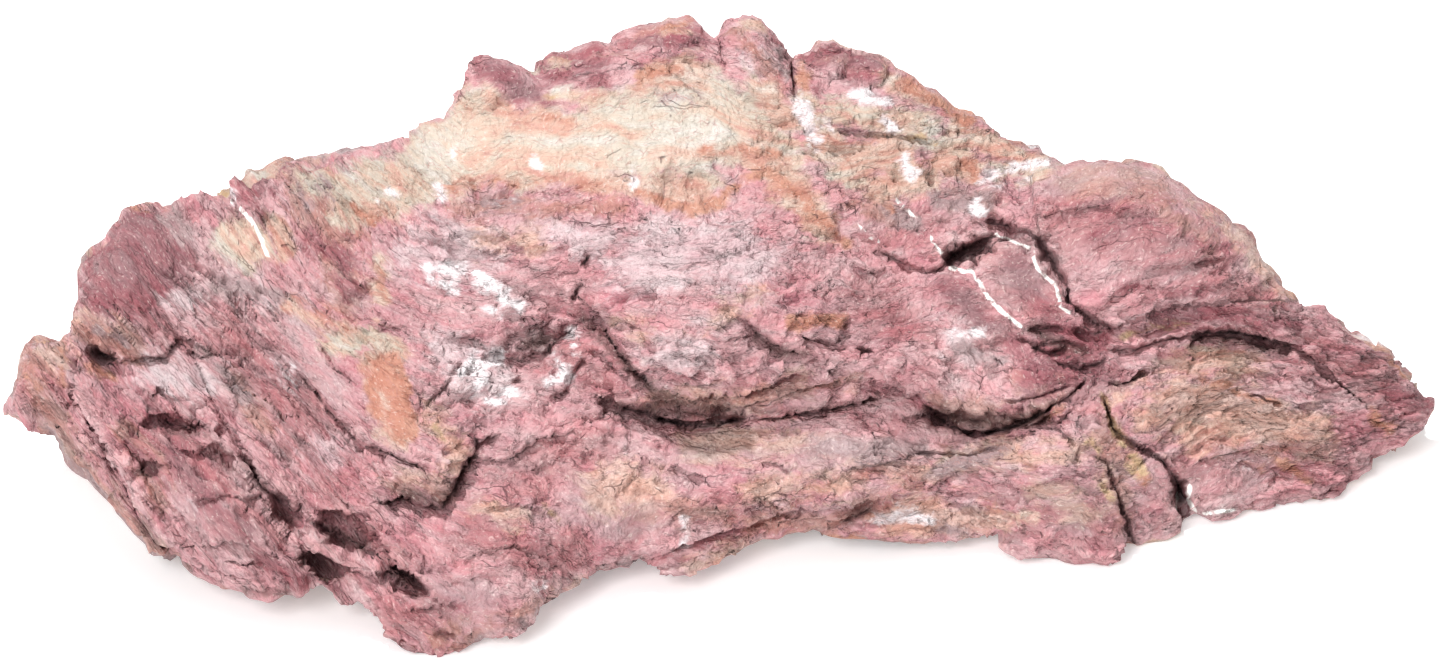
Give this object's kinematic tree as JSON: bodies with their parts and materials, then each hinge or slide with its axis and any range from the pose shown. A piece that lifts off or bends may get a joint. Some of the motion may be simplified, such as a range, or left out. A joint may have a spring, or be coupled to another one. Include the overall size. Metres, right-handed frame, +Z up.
{
  "type": "petrified wood chunk",
  "caption": "Rough, weathered chunk of red and cream petrified wood with a broad ledged face, a pale sloping top and a thin pointed end, lying on its worn flat underside.",
  "frame": {"origin": "middle of the stone's box on the ground it lies on", "axes": "+X along the grain towards the thin end, -Y out of the broad ledged face, +Z up"},
  "size_m": [0.228, 0.118, 0.069],
  "materials": {
    "petrified_wood": "matte"
  },
  "bodies": {
    "root": {"petrified_wood": "petrified_wood"}
  },
  "joints": []
}
